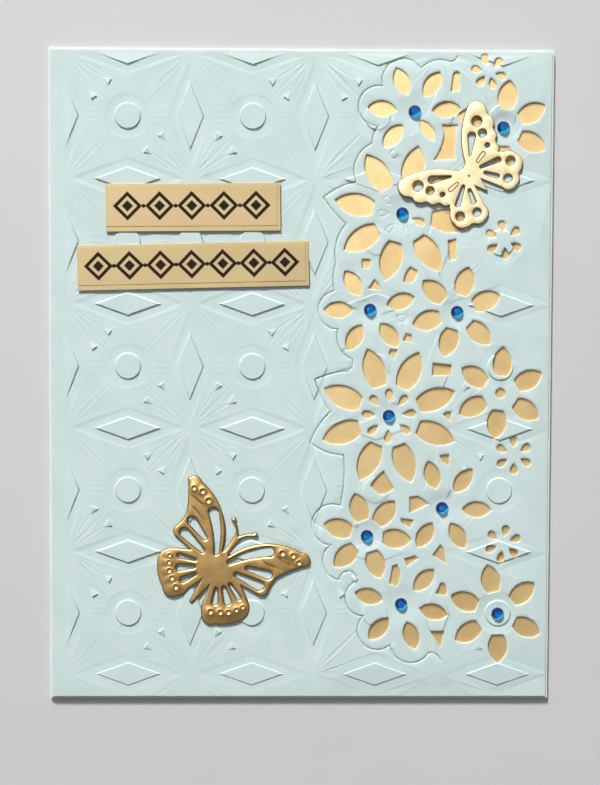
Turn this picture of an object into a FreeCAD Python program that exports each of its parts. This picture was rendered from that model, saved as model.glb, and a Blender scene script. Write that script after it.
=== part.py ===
"""Handmade greeting card: a folded card base with an embossed, die-cut paper panel on its front, a gold sheet
behind the cut flowers, two gold strips, two gold butterflies and ten glass gems.

The card lies on its back leaf, with the fold on the left (-X) and the top of the picture towards +Y. All
sizes are in millimetres. Places on the front are measured from the lower left corner of the card, and each
finished piece is moved by half the card's width and height, so that the origin is in the middle of the underside.
"""
import FreeCAD, Part
import math
import os

Vector = FreeCAD.Vector

# Card base, one sheet folded down the left side
card_width = 107.95
card_height = 139.7
card_stock = 0.3
leaf_gap = 0.5

# Gold sheet, seen through the cut flowers
gold_margin = 1.2
gold_stock = 0.2

# Embossed panel
panel_margin = 0.5
panel_stock = 0.3
relief_height = 0.3
relief_side_margin = 4.5
relief_edge_margin = 1.6
relief_slope = 0.3
relief_clearance = 0.2
relief_least_share = 0.3

# Lattice of the embossed pattern: the first star of the lattice and the step from star to star
lattice_step = 26.65
star_from_left = 3.65
star_from_bottom = 5.35
lying_diamond_length = 14.6
lying_diamond_width = 5.2
standing_diamond_length = 15.0
standing_diamond_width = 6.0
disc_diameter = 5.8
dart_reach = 11.0
dart_length = 2.4
dart_width = 1.2
dart_spread = 12.0

# Flower border, measured inwards from the right edge of the card and upwards from its bottom edge
pointed_petal_length = 6.0
pointed_petal_width = 3.2
narrow_petal_length = 5.0
narrow_petal_width = 2.2
cut_petal_length = 5.9
cut_petal_width = 3.8
cut_petal_base = 2.2
large_petal_length = 8.2
large_petal_width = 4.4
large_petal_base = 2.6
drop_length = 2.1
drop_width = 1.4
drop_widest_share = 0.45
drop_shoulder_share = 0.85
drop_shoulder_width_share = 0.7
inner_drop_length = 2.5
flower_eye_diameter = 1.9
cut_line_width = 0.16
opening_facet = 29.0
cut_line_facet = 20.0
least_squareness = 0.5

# Gems
gem_diameter = 2.75
gem_height = 1.1
gem_table = 1.6
gem_girdle = 0.25
gem_sides = 10

# Gold strips, each a label on a mat
mat_stock = 0.25
label_stock = 0.1
label_left_border = 0.05
label_top_border = 0.4
label_bottom_border = 1.1
label_right_border = 0.7
upper_strip_length = 37.2
upper_strip_width = 10.2
upper_strip_from_left = 31.0
upper_strip_from_bottom = 105.9
upper_strip_turn = 0.6
lower_strip_length = 49.4
lower_strip_width = 9.6
lower_strip_from_left = 31.0
lower_strip_from_bottom = 93.45
lower_strip_turn = 1.5

# Butterflies
lower_butterfly_stock = 0.45
lower_butterfly_from_left = 35.6
lower_butterfly_from_bottom = 28.2
lower_butterfly_turn = 54.4
upper_butterfly_stock = 0.5
upper_butterfly_from_right = 17.75
upper_butterfly_from_bottom = 112.9
upper_butterfly_turn = 138.0
upper_wing_lift = 1.5
butterfly_facet = 20.0
hole_facet = 30.0


def base_top():
    return 2 * card_stock + leaf_gap


def panel_bottom():
    return base_top() + gold_stock


def panel_top():
    return panel_bottom() + panel_stock


def relief_top():
    return panel_top() + relief_height


def save(node, shape):
    """Write a finished piece, moved from the card's corner to the card's own origin."""
    piece = shape.copy()
    piece.translate(Vector(-card_width / 2, -card_height / 2, 0))
    piece.exportStep(f"parts/{node}.step")


def outline(corners, height):
    """Closed wire through corners (x, y, bow).

    The side after a corner bows out to its right by bow times its length.
    """
    edges = []
    for start, end in zip(corners, corners[1:] + corners[:1]):
        first = Vector(start[0], start[1], height)
        last = Vector(end[0], end[1], height)
        side = last - first
        if start[2] == 0:
            edges.append(Part.LineSegment(first, last).toShape())
        else:
            crown = (first + last) * 0.5 + Vector(side.y, -side.x, 0) * start[2]
            edges.append(Part.Arc(first, crown, last).toShape())
    return Part.Wire(edges)


def faceted(corners, facet_angle):
    """The same outline with each bowed side as straight runs, each turned from the last by the facet angle."""
    points = []
    for start, end in zip(corners, corners[1:] + corners[:1]):
        x, y, bow = start
        along_x = end[0] - x
        along_y = end[1] - y
        half_sweep = 2 * math.atan(2 * bow)
        runs = max(1, math.ceil(abs(math.degrees(2 * half_sweep)) / facet_angle))
        points.append((x, y, 0))
        for run in range(1, runs):
            turn = half_sweep * (2 * run / runs - 1)
            along = (1 + math.sin(turn) / math.sin(half_sweep)) / 2
            out = (math.cos(turn) - math.cos(half_sweep)) / (2 * math.sin(half_sweep))
            points.append((x + along_x * along + along_y * out, y + along_y * along - along_x * out, 0))
    return points


def plate(corners, bottom, thickness, cut_outs=()):
    """Flat plate with cut-outs, bottom face at the given height."""
    face = Part.Face(outline(corners, bottom))
    if cut_outs:
        face = face.cut([Part.Face(outline(hole, bottom)) for hole in cut_outs])
    return face.extrude(Vector(0, 0, thickness))


def turned(corners, x, y, angle):
    """The corners turned by an angle in degrees about the origin, then moved to x, y."""
    cosine = math.cos(math.radians(angle))
    sine = math.sin(math.radians(angle))
    return [(x + u * cosine - v * sine, y + u * sine + v * cosine, bow) for u, v, bow in corners]


def card_base():
    """Two leaves joined by a round fold, cut across and drawn out along the height of the card."""
    leaf_end = card_width
    outer_radius = card_stock + leaf_gap / 2
    top = base_top()
    section = [
        (outer_radius, 0, 0),
        (leaf_end, 0, 0),
        (leaf_end, card_stock, 0),
        (outer_radius, card_stock, -0.5),
        (outer_radius, top - card_stock, 0),
        (leaf_end, top - card_stock, 0),
        (leaf_end, top, 0),
        (outer_radius, top, 0.5),
    ]
    wire = outline(section, 0)
    wire.rotate(Vector(0, 0, 0), Vector(1, 0, 0), 90)
    return Part.Face(wire).extrude(Vector(0, card_height, 0))


def inset_sheet(margin, bottom, stock):
    width = card_width - 2 * margin
    height = card_height - 2 * margin
    return Part.makeBox(width, height, stock, Vector(margin, margin, bottom))


# Openings of the flower border

def pointed_petal(length, width):
    """Leaf with a point at each end, lying along +X from the origin."""
    bow = width / 2 / length
    return [(0, 0, bow), (length, 0, bow)]


def cut_petal(length, width, base):
    """Leaf with its inner end cut off square, lying along +X from the origin."""
    bow = (width / 2 - base / 4) / math.hypot(length, base / 2)
    return [(0, -base / 2, bow), (length, 0, bow), (0, base / 2, 0)]


def drop(length, width):
    """Small drop with straight sides, lying along +X from the origin."""
    widest = drop_widest_share * length
    shoulder = drop_shoulder_share * length
    half_shoulder = drop_shoulder_width_share * width / 2
    return [(0, 0, 0), (widest, -width / 2, 0), (shoulder, -half_shoulder, 0),
            (length, 0, 0), (shoulder, half_shoulder, 0), (widest, width / 2, 0)]


def round_hole(x, y, diameter):
    return [(x - diameter / 2, y, 0.5), (x + diameter / 2, y, 0.5)]


def ring_of(shape, right, up, reach, angles):
    """Copies of an opening round the centre of a flower, each starting at the reach and pointing outwards."""
    petals = []
    for angle in angles:
        moved = [(u + reach, v, bow) for u, v, bow in shape]
        petals.append(turned(moved, card_width - right, up, angle))
    return petals


def flowers():
    """Openings of the eleven large flowers and the four small ones."""
    pointed = pointed_petal(pointed_petal_length, pointed_petal_width)
    narrow = pointed_petal(narrow_petal_length, narrow_petal_width)
    cut = cut_petal(cut_petal_length, cut_petal_width, cut_petal_base)
    large = cut_petal(large_petal_length, large_petal_width, large_petal_base)
    small = drop(drop_length, drop_width)
    inner = drop(inner_drop_length, drop_width)
    return [
        *ring_of(pointed, 29.9, 126.5, 3.9, (4, 57, 113, 175, 229)),
        *ring_of(narrow, 29.9, 126.5, 2.4, (306,)),
        *ring_of(cut, 10.8, 123.2, 4.1, (28, 83, 164, 270, 333)),
        *ring_of(large, 32.3, 104.8, 6.4, (33, 77, 122, 169, 212, 256, 304, 351)),
        *ring_of(inner, 32.3, 104.8, 2.6, (335,)),
        *ring_of(pointed, 39.1, 84.2, 3.8, (16, 123, 180, 241, 308)),
        *ring_of(cut, 20.4, 83.8, 3.9, (22, 76, 138, 196, 254, 317)),
        *ring_of(large, 34.9, 61.4, 6.8, (20.5, 65, 108, 157, 200, 246, 289, 339)),
        *ring_of(inner, 34.9, 61.4, 3.2, (7, 48, 90, 133, 176, 221, 268, 321)),
        *ring_of(cut, 10.9, 66.4, 3.9, (26, 87, 147, 207, 263, 327)),
        round_hole(card_width - 10.9, 66.4, flower_eye_diameter),
        *ring_of(pointed, 23.3, 41.5, 4.5, (53, 107, 358)),
        *ring_of(pointed, 23.3, 41.5, 3.9, (238, 300)),
        *ring_of(cut, 39.5, 35.4, 3.6, (52, 106, 164, 223, 288, 355)),
        *ring_of(pointed, 32.0, 20.6, 4.2, (47, 166, 228, 288, 347)),
        *ring_of(cut, 11.1, 18.6, 4.8, (102, 159, 213, 271)),
        *ring_of(cut, 11.1, 18.6, 4.3, (40, 334)),
        *ring_of(small, 14.0, 135.1, 1.6, (-19, 46, 108, 171, 231, 286)),
        *ring_of(small, 10.5, 99.3, 1.9, (-28, 36, 97, 156, 216, 276)),
        *ring_of(small, 7.9, 53.0, 1.9, (-29, 32, 91, 152, 213, 271)),
        *ring_of(small, 10.0, 33.8, 1.8, (-40, 22, 80, 142, 200, 260)),
    ]


def fillers():
    """Openings between the flowers, as (distance from the right edge, height, bow) for each corner."""
    shapes = [
        [(22.0, 131.0, 0), (20.4, 131.0, 0), (20.4, 134.6, 0.3), (21.5, 134.6, 0)],
        [(25.4, 116.4, 0), (21.0, 116.6, -0.05), (20.7, 123.6, 0), (23.8, 123.6, -0.1), (23.8, 120.0, -0.05)],
        [(40.8, 93.2, 0), (39.4, 93.2, 0.1), (39.2, 94.9, 0), (40.8, 94.9, 0)],
        [(31.8, 90.2, 0), (30.2, 90.2, 0.1), (29.1, 92.6, 0), (30.5, 93.3, 0.1)],
        [(22.0, 95.0, 0), (20.8, 95.2, 0), (20.8, 99.3, 0), (22.4, 99.0, 0)],
        [(39.3, 88.8, 0), (37.0, 88.6, 0.1), (38.2, 90.6, 0)],
        [(31.8, 77.8, 0), (30.0, 77.4, 0), (30.3, 78.8, 0), (31.3, 79.0, 0)],
        [(34.9, 74.9, 0), (33.9, 73.8, 0), (33.3, 75.5, 0), (34.6, 75.6, 0)],
        [(25.6, 70.3, 0), (21.7, 70.4, 0), (21.6, 72.3, 0), (25.4, 72.7, 0)],
        [(23.1, 61.7, 0), (21.7, 60.6, 0), (21.6, 62.3, 0), (22.5, 62.2, 0)],
        [(23.4, 51.8, 0), (22.0, 51.0, 0), (22.0, 53.0, 0), (23.7, 52.8, 0)],
        [(38.7, 46.4, 0), (36.9, 44.6, 0.1), (33.9, 45.8, 0), (36.0, 49.3, 0.05)],
        [(30.2, 40.6, 0), (26.4, 42.4, 0.05), (28.6, 44.0, 0), (30.2, 43.8, 0)],
        [(31.8, 38.2, 0), (30.2, 37.4, 0), (29.6, 38.8, 0), (32.1, 39.1, 0)],
        [(30.7, 29.0, 0), (28.5, 30.6, 0), (29.1, 31.0, 0), (31.2, 30.4, 0)],
        [(25.1, 31.3, 0), (22.4, 29.7, 0), (22.9, 32.2, 0.1), (23.6, 33.4, 0)],
        [(34.5, 25.2, 0), (33.0, 24.6, 0.05), (32.4, 28.0, 0), (33.0, 29.2, 0), (33.8, 28.9, 0)],
        [(24.4, 23.0, 0), (22.4, 22.7, 0.1), (22.7, 25.0, 0), (23.3, 25.2, 0)],
        [(23.4, 11.5, 0), (22.7, 14.6, 0), (25.5, 14.6, 0)],
    ]
    return [[(card_width - right, up, bow) for right, up, bow in corners] for corners in shapes]


def cut_line():
    """Scalloped line that is cut beside the flowers, from top to bottom.

    Each cusp has its distance from the right edge, its height and the bow of the lobe after it.
    """
    cusps = [
        (20.6, 138.2, -0.15), (22.4, 137.1, 0.16), (28.5, 135.6, 0.43), (36.6, 131.8, 0.55),
        (37.6, 123.3, 0.1), (38.8, 119.7, 0.2), (42.3, 111.5, 0.06), (49.2, 108.1, 0.03),
        (44.3, 102.5, 0.12), (46.5, 94.2, 0.06), (46.8, 88.2, 0.47), (45.9, 80.0, 0.2),
        (42.9, 73.6, -0.2), (43.8, 71.0, 0.05), (50.9, 69.2, 0.04), (47.5, 62.2, 0.06),
        (51.8, 55.5, 0.08), (44.6, 52.9, -0.04), (45.3, 42.0, 0.58), (47.3, 33.4, 0.34),
        (45.4, 25.9, -0.5), (41.5, 25.7, 0.42), (40.2, 18.0, 0.48), (34.3, 11.7, 0.36),
        (26.0, 10.0, -0.2), (23.3, 8.2, 0),
    ]
    return [(card_width - right, up, bow) for right, up, bow in cusps]


def direction(start, end, swing):
    """Direction of the bowed side from start to end: -1 where it starts, 1 where it ends."""
    chord = Vector(end[0] - start[0], end[1] - start[1], 0).normalize()
    turn = swing * 2 * math.atan(2 * start[2])
    cosine = math.cos(turn)
    sine = math.sin(turn)
    return Vector(chord.x * cosine - chord.y * sine, chord.x * sine + chord.y * cosine, 0)


def band(line, width):
    """Outline of a narrow band of even width along an open line of bowed sides."""
    last = len(line) - 1
    there = []
    back = []
    for k, (x, y, bow) in enumerate(line):
        into = direction(line[k - 1], line[k], 1) if k else direction(line[0], line[1], -1)
        out = direction(line[k], line[k + 1], -1) if k < last else into
        across = Vector(into.y + out.y, -into.x - out.x, 0).normalize()
        squareness = max(across.dot(Vector(into.y, -into.x, 0)), least_squareness)
        shift = across * (width / 2 / squareness)
        there.append((x + shift.x, y + shift.y, bow if k < last else 0))
        back.append((x - shift.x, y - shift.y, -line[k - 1][2] if k else 0))
    return there + back[::-1]


# Raised pattern

def closed_solid(rings):
    """Solid inside the flat faces that the closed rings of points bound."""
    faces = [Part.Face(Part.makePolygon(ring + ring[:1])) for ring in rings]
    solid = Part.Solid(Part.Shell(faces))
    if solid.Volume < 0:
        solid.reverse()
    return solid


def rooted(foot, rings):
    """Raised solid inside the rings, with a straight root in the panel below its foot."""
    root = Part.Face(Part.makePolygon(foot + foot[:1])).extrude(Vector(0, 0, -panel_stock / 2))
    return root.fuse(closed_solid([foot] + rings)).removeSplitter()


def diamond(x, y, half_x, half_y):
    """Raised diamond with evenly sloped sides."""
    shrink = 1 - relief_slope * math.hypot(half_x, half_y) / (half_x * half_y)
    corners = [(-half_x, 0), (0, -half_y), (half_x, 0), (0, half_y)]
    foot = [Vector(x + u, y + v, panel_top()) for u, v in corners]
    crown = [Vector(x + u * shrink, y + v * shrink, relief_top()) for u, v in corners]
    rings = [crown]
    for k in range(len(corners)):
        rings.append([foot[k - 1], foot[k], crown[k], crown[k - 1]])
    return rooted(foot, rings)


def disc(x, y):
    """Raised round disc with a sloped side."""
    root = Part.makeCylinder(disc_diameter / 2, panel_stock / 2, Vector(x, y, panel_top() - panel_stock / 2))
    crown = Part.makeCone(disc_diameter / 2, disc_diameter / 2 - relief_slope, relief_height,
                          Vector(x, y, panel_top()))
    return root.fuse(crown).removeSplitter()


def dart(x, y, angle):
    """Short wedge that widens and rises from its point to a blunt end, pointing away from the star."""
    start = dart_reach - dart_length
    corners = [(start, 0, 0), (dart_reach, -dart_width / 2, 0), (dart_reach, dart_width / 2, 0)]
    foot = [Vector(u, v, panel_top()) for u, v, bow in turned(corners, x, y, angle)]
    peak_x, peak_y, bow = turned([(dart_reach - relief_slope, 0, 0)], x, y, angle)[0]
    peak = Vector(peak_x, peak_y, relief_top())
    return rooted(foot, [[foot[k - 1], foot[k], peak] for k in range(len(foot))])


def relief():
    """All raised shapes of the lattice that fit on the card."""
    shapes = []
    columns = int((card_width - star_from_left) / lattice_step) + 1
    rows = int((card_height - star_from_bottom) / lattice_step) + 1
    half = lattice_step / 2
    for column in range(columns):
        for row in range(rows):
            x = star_from_left + column * lattice_step
            y = star_from_bottom + row * lattice_step
            shapes.append(diamond(x + half, y, lying_diamond_length / 2, lying_diamond_width / 2))
            shapes.append(diamond(x, y + half, standing_diamond_width / 2, standing_diamond_length / 2))
            shapes.append(disc(x + half, y + half))
            if (column + row) % 2:
                for quarter in (45, 135, 225, 315):
                    shapes.append(dart(x, y, quarter - dart_spread))
                    shapes.append(dart(x, y, quarter + dart_spread))
    return shapes


def panel_openings():
    """Outlines of everything that is cut through the panel."""
    openings = [faceted(corners, opening_facet) for corners in flowers() + fillers()]
    return openings + [faceted(band(cut_line(), cut_line_width), cut_line_facet)]


def raised_shapes(openings):
    """The raised shapes that lie within the margins and clear the openings."""
    wires = [outline(corners, panel_top()) for corners in openings]
    rims = [edge for wire in wires for edge in wire.Edges]
    holes = [Part.Face(wire) for wire in wires]
    width = card_width - relief_side_margin - relief_edge_margin
    height = card_height - 2 * relief_edge_margin
    corner = Vector(relief_side_margin, relief_edge_margin, panel_bottom())
    area = Part.makeBox(width, height, panel_stock + 2 * relief_height, corner)
    kept = []
    for shape in relief():
        clipped = shape if area.BoundBox.isInside(shape.BoundBox) else shape.common(area)
        if clipped.Volume > relief_least_share * shape.Volume:
            if clear_of(clipped, rims) and not over_hole(clipped, holes) and not under_gem_rim(clipped):
                kept.append(clipped)
    return kept


def embossed_panel(openings, raised):
    """Sheet with the openings cut through it and the raised shapes on it."""
    low = panel_margin
    right = card_width - panel_margin
    top = card_height - panel_margin
    sheet_corners = [(low, low, 0), (right, low, 0), (right, top, 0), (low, top, 0)]
    sheet = plate(sheet_corners, panel_bottom(), panel_stock, openings)
    return sheet.fuse(raised).removeSplitter()


def clear_of(shape, rims):
    """Whether a raised shape keeps its clearance from the rims of all openings."""
    reach = FreeCAD.BoundBox(shape.BoundBox)
    reach.enlarge(relief_clearance)
    near = [rim for rim in rims if reach.intersect(rim.BoundBox)]
    return not near or shape.distToShape(Part.makeCompound(near))[0] > relief_clearance


def over_hole(shape, holes):
    """Whether the middle of a raised shape lies over an opening."""
    middle = Vector(shape.BoundBox.Center.x, shape.BoundBox.Center.y, panel_top())
    return any(hole.isInside(middle, relief_clearance, True) for hole in holes)


def under_gem_rim(shape):
    """Whether a raised shape reaches under the rim of a stone but not under its middle."""
    for right, up in gems():
        middle = Vector(card_width - right, up, panel_top())
        if shape.BoundBox.Center.distanceToPoint(middle) < lattice_step / 2:
            beneath = any(solid.isInside(middle, relief_clearance, True) for solid in shape.Solids)
            if not beneath and shape.distToShape(Part.Vertex(middle))[0] < gem_diameter / 2:
                return True
    return False


# Gems

def gem_seat(x, y, raised):
    """Height that a stone is stuck on at: the top of the raised shape under it, or else of the panel."""
    footprint = Part.makeCylinder(gem_diameter / 2, relief_height, Vector(x, y, panel_top()))
    heights = [panel_top()]
    for shape in raised:
        if shape.BoundBox.intersect(footprint.BoundBox):
            under = shape.common(footprint)
            if under.Volume > 0:
                heights.append(under.BoundBox.ZMax)
    return max(heights)


def gem(x, y, bottom):
    """Flat-backed stone: a girdle band, a crown of triangular facets and a flat table."""
    shoulder = bottom + gem_girdle
    top = bottom + gem_height
    step = 360 / gem_sides
    girdle = [turned([(gem_diameter / 2, 0, 0)], x, y, step * k)[0] for k in range(gem_sides)]
    table = [turned([(gem_table / 2, 0, 0)], x, y, step * (k + 0.5))[0] for k in range(gem_sides)]
    low = [Vector(u, v, bottom) for u, v, bow in girdle]
    middle = [Vector(u, v, shoulder) for u, v, bow in girdle]
    high = [Vector(u, v, top) for u, v, bow in table]
    rings = [low, high]
    for k in range(gem_sides):
        rings.append([low[k - 1], low[k], middle[k], middle[k - 1]])
        rings.append([middle[k - 1], middle[k], high[k - 1]])
        rings.append([middle[k], high[k], high[k - 1]])
    return closed_solid(rings)


def gems():
    """Places of the ten stones: distance from the right edge and height."""
    return [(29.8, 126.5), (10.8, 123.2), (32.3, 104.8), (39.1, 84.2), (20.4, 83.8),
            (34.9, 61.4), (23.3, 41.5), (39.5, 35.4), (32.0, 20.6), (11.1, 18.6)]


# Gold strips

def strip(length, width, x, y, angle, bottom, thickness, borders=(0, 0, 0, 0)):
    """Straight strip centred on x, y, drawn in by its borders on the left, bottom, right and top."""
    left, low, right, top = borders
    corners = [(left - length / 2, low - width / 2, 0), (length / 2 - right, low - width / 2, 0),
               (length / 2 - right, width / 2 - top, 0), (left - length / 2, width / 2 - top, 0)]
    return plate(turned(corners, x, y, angle), bottom, thickness)


def save_strip(name, length, width, place):
    """A mat that lies on the raised pattern, and the label on it, set a little low and to the left."""
    borders = (label_left_border, label_bottom_border, label_right_border, label_top_border)
    save(f"{name}_mat", strip(length, width, *place, relief_top(), mat_stock))
    save(f"{name}_label", strip(length, width, *place, relief_top() + mat_stock, label_stock, borders))


# Butterflies, drawn with the head towards +X and the left wings towards +Y, body at the origin

def both_sides(half):
    """Outline that is the same on both sides of the X axis, from its left side, which starts on the axis."""
    other = [(u, -v, half[k - 1][2]) for k, (u, v, bow) in enumerate(half) if v]
    return half + other[::-1]


def mirrored(corners):
    """The same outline on the other side of the X axis."""
    other = [(u, -v, corners[k - 1][2]) for k, (u, v, bow) in enumerate(corners)]
    return other[::-1]


def slot(start_x, start_y, start_width, end_x, end_y, end_width):
    """Slot with round ends that widens from its start to its end."""
    length = math.hypot(end_x - start_x, end_y - start_y)
    across_x = (end_y - start_y) / length
    across_y = (start_x - end_x) / length
    return [
        (start_x + across_x * start_width / 2, start_y + across_y * start_width / 2, 0),
        (end_x + across_x * end_width / 2, end_y + across_y * end_width / 2, 0.5),
        (end_x - across_x * end_width / 2, end_y - across_y * end_width / 2, 0),
        (start_x - across_x * start_width / 2, start_y - across_y * start_width / 2, 0.5),
    ]


def lower_butterfly():
    """Flat butterfly with slotted wings and two short knobbed feelers on one stalk."""
    half = [
        (8.8, 0.0, 0.05), (11.15, 2.25, 1.3), (10.55, 2.78, -0.12), (8.6, 0.75, 0),
        (4.7, 0.55, 0), (4.1, 0.8, 0.148), (13.9, 13.2, 0.3), (12.6, 16.1, -0.03), (6.5, 12.1, -0.06),
        (2.8, 12.3, 0.25), (0.9, 10.8, 0), (0.6, 6.6, 0.02), (-1.6, 10.2, 0.22), (-5.8, 11.0, 0.08),
        (-9.6, 7.0, 0.3), (-9.4, 3.2, 0.12), (-6.7, 2.0, 0), (-2.9, 1.0, 0), (-5.6, 0.85, 0),
        (-8.7, 0.45, 0.3),
    ]
    long_slot = [(3.3, 1.35, 0.05), (10.85, 6.8, 0.32), (9.45, 8.4, -0.045), (2.7, 2.0, 0.3)]
    wing_slots = [
        long_slot,
        slot(4.3, 5.6, 0.8, 5.7, 10.0, 1.9),
        slot(1.8, 4.5, 0.9, 2.7, 9.9, 2.0),
        slot(-0.7, 4.6, 0.5, -2.0, 7.9, 0.9),
        slot(-2.1, 4.0, 0.7, -4.1, 6.4, 1.4),
        slot(-3.2, 2.8, 0.5, -5.8, 4.2, 1.2),
    ]
    return half, wing_slots


def upper_butterfly():
    """Butterfly with scalloped wings, pierced with round holes and slots."""
    half = [
        (2.3, 0.0, 0), (2.7, 1.1, 0.09), (10.3, 10.0, 0.25), (8.8, 13.0, 0.12),
        (6.9, 12.6, -0.1), (5.9, 12.1, 0.15), (4.4, 12.0, 0.1), (3.4, 10.9, -0.1), (2.6, 10.5, 0.2),
        (1.3, 9.4, -0.1), (0.5, 8.8, 0.2), (-0.9, 7.8, 0), (-1.8, 8.6, 0.15), (-4.4, 10.1, 0.2),
        (-6.7, 9.0, 0.12), (-7.2, 7.6, -0.1), (-7.9, 6.9, 0.15), (-8.7, 4.9, 0.25), (-6.6, 2.6, 0),
        (-2.0, 1.0, 0), (-4.7, 0.25, 0.4),
    ]
    wing_holes = [
        round_hole(6.8, 9.3, 2.1),
        round_hole(4.2, 8.3, 1.6),
        round_hole(1.7, 7.1, 0.9),
        slot(3.0, 3.1, 0.3, 5.5, 6.3, 1.5),
        slot(-0.4, 2.8, 0.5, -2.1, 6.4, 1.1),
        slot(-1.9, 2.5, 0.5, -4.3, 3.7, 0.9),
        round_hole(-4.2, 8.0, 1.8),
        round_hole(-6.3, 4.9, 1.7),
    ]
    return half, wing_holes


def flat_butterfly(half, cut_outs, stock, place):
    corners = turned(faceted(both_sides(half), butterfly_facet), *place)
    holes = []
    for hole in cut_outs + [mirrored(hole) for hole in cut_outs]:
        holes.append(turned(faceted(hole, hole_facet), *place))
    return plate(corners, relief_top(), stock, holes)


def lifted_butterfly(half, cut_outs, stock, place, lift):
    """Two halves that meet along the body and rise from it towards the wing tips."""
    x, y, angle = place
    closed_half = faceted(half[:-1] + [(half[-1][0], half[-1][1], 0), (half[-1][0], 0, 0)], butterfly_facet)
    left = plate(closed_half, 0, stock, [faceted(hole, hole_facet) for hole in cut_outs])
    left.rotate(Vector(0, 0, 0), Vector(1, 0, 0), lift)
    right = left.mirror(Vector(0, 0, 0), Vector(0, 1, 0))
    whole = left.fuse(right).removeSplitter()
    whole.rotate(Vector(0, 0, 0), Vector(0, 0, 1), angle)
    whole.translate(Vector(x, y, relief_top()))
    return whole


if __name__ == "__main__":
    os.makedirs("parts", exist_ok=True)
    openings = panel_openings()
    raised = raised_shapes(openings)
    upper_strip_place = (upper_strip_from_left, upper_strip_from_bottom, upper_strip_turn)
    lower_strip_place = (lower_strip_from_left, lower_strip_from_bottom, lower_strip_turn)
    lower_place = (lower_butterfly_from_left, lower_butterfly_from_bottom, lower_butterfly_turn)
    upper_place = (card_width - upper_butterfly_from_right, upper_butterfly_from_bottom, upper_butterfly_turn)
    save("card_base", card_base())
    save("gold_backing", inset_sheet(gold_margin, base_top(), gold_stock))
    save("embossed_panel", embossed_panel(openings, raised))
    save_strip("upper_strip", upper_strip_length, upper_strip_width, upper_strip_place)
    save_strip("lower_strip", lower_strip_length, lower_strip_width, lower_strip_place)
    save("lower_butterfly", flat_butterfly(*lower_butterfly(), lower_butterfly_stock, lower_place))
    save("upper_butterfly", lifted_butterfly(*upper_butterfly(), upper_butterfly_stock, upper_place,
                                             upper_wing_lift))
    for number, (right, up) in enumerate(gems(), start=1):
        x = card_width - right
        save(f"gem_{number}", gem(x, up, gem_seat(x, up, raised)))
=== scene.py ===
import bpy
import math
import numpy as np
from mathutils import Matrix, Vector
from mathutils.geometry import delaunay_2d_cdt


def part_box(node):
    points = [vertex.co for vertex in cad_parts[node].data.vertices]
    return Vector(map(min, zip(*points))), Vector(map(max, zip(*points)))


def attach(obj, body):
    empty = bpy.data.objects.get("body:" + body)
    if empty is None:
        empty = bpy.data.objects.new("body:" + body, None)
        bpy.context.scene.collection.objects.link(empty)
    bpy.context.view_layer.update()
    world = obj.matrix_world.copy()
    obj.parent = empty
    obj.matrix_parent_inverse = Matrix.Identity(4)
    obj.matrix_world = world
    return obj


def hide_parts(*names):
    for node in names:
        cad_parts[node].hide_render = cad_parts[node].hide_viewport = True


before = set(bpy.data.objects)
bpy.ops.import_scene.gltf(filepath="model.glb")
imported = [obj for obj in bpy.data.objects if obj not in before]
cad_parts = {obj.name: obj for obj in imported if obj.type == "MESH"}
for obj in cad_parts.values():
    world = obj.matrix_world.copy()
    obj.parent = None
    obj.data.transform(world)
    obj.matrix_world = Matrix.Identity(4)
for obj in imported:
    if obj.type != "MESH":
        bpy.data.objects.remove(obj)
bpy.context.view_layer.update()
bpy.ops.object.select_all(action="DESELECT")


# ------------------------------------ Card base
# One sheet of smooth white card, scored and folded down its left side, so that it opens like a book.
# Only a narrow rim of the front leaf shows round the panel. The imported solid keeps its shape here.

mm = 0.001
card_width = 107.95
card_height = 139.7
card_white = (0.80, 0.815, 0.79, 1)
card_shade = (0.72, 0.74, 0.72, 1)


def new_surface(name, colour, roughness, metallic=0.0, specular=0.5):
    """New material with one colour, ready for its pattern."""
    material = bpy.data.materials.new(name)
    material.use_nodes = True
    shader = material.node_tree.nodes["Principled BSDF"]
    shader.inputs["Base Color"].default_value = colour
    shader.inputs["Roughness"].default_value = roughness
    shader.inputs["Metallic"].default_value = metallic
    shader.inputs["Specular IOR Level"].default_value = specular
    return material


def add_noise(material, size, detail=3.0, stretch=(1, 1, 1), turn=0.0):
    """Noise whose patches are about the size given in mm, drawn out along an axis by the stretch."""
    tree = material.node_tree
    coordinates = tree.nodes.new("ShaderNodeTexCoord")
    mapping = tree.nodes.new("ShaderNodeMapping")
    mapping.inputs["Rotation"].default_value = (0, 0, turn)
    mapping.inputs["Scale"].default_value = [1 / s for s in stretch]
    noise = tree.nodes.new("ShaderNodeTexNoise")
    noise.inputs["Scale"].default_value = 1 / (size * mm)
    noise.inputs["Detail"].default_value = detail
    tree.links.new(coordinates.outputs["Object"], mapping.inputs["Vector"])
    tree.links.new(mapping.outputs["Vector"], noise.inputs["Vector"])
    return noise.outputs["Fac"]


def between(material, factor, low, high, first, second):
    """The colour that runs from the first to the second as the factor runs from low to high."""
    ramp = material.node_tree.nodes.new("ShaderNodeValToRGB")
    ramp.color_ramp.elements[0].position = low
    ramp.color_ramp.elements[0].color = first
    ramp.color_ramp.elements[1].position = high
    ramp.color_ramp.elements[1].color = second
    material.node_tree.links.new(factor, ramp.inputs["Fac"])
    return ramp.outputs["Color"]


def add_bump(material, height, depth, strength=1.0, under=None):
    """Bump of a depth in mm on top of an earlier one."""
    bump = material.node_tree.nodes.new("ShaderNodeBump")
    bump.inputs["Strength"].default_value = strength
    bump.inputs["Distance"].default_value = depth * mm
    material.node_tree.links.new(height, bump.inputs["Height"])
    if under:
        material.node_tree.links.new(under, bump.inputs["Normal"])
    return bump.outputs["Normal"]


def feed(material, output, socket):
    """Joins an output to a socket of the material's shader."""
    shader = material.node_tree.nodes["Principled BSDF"]
    material.node_tree.links.new(output, shader.inputs[socket])


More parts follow.
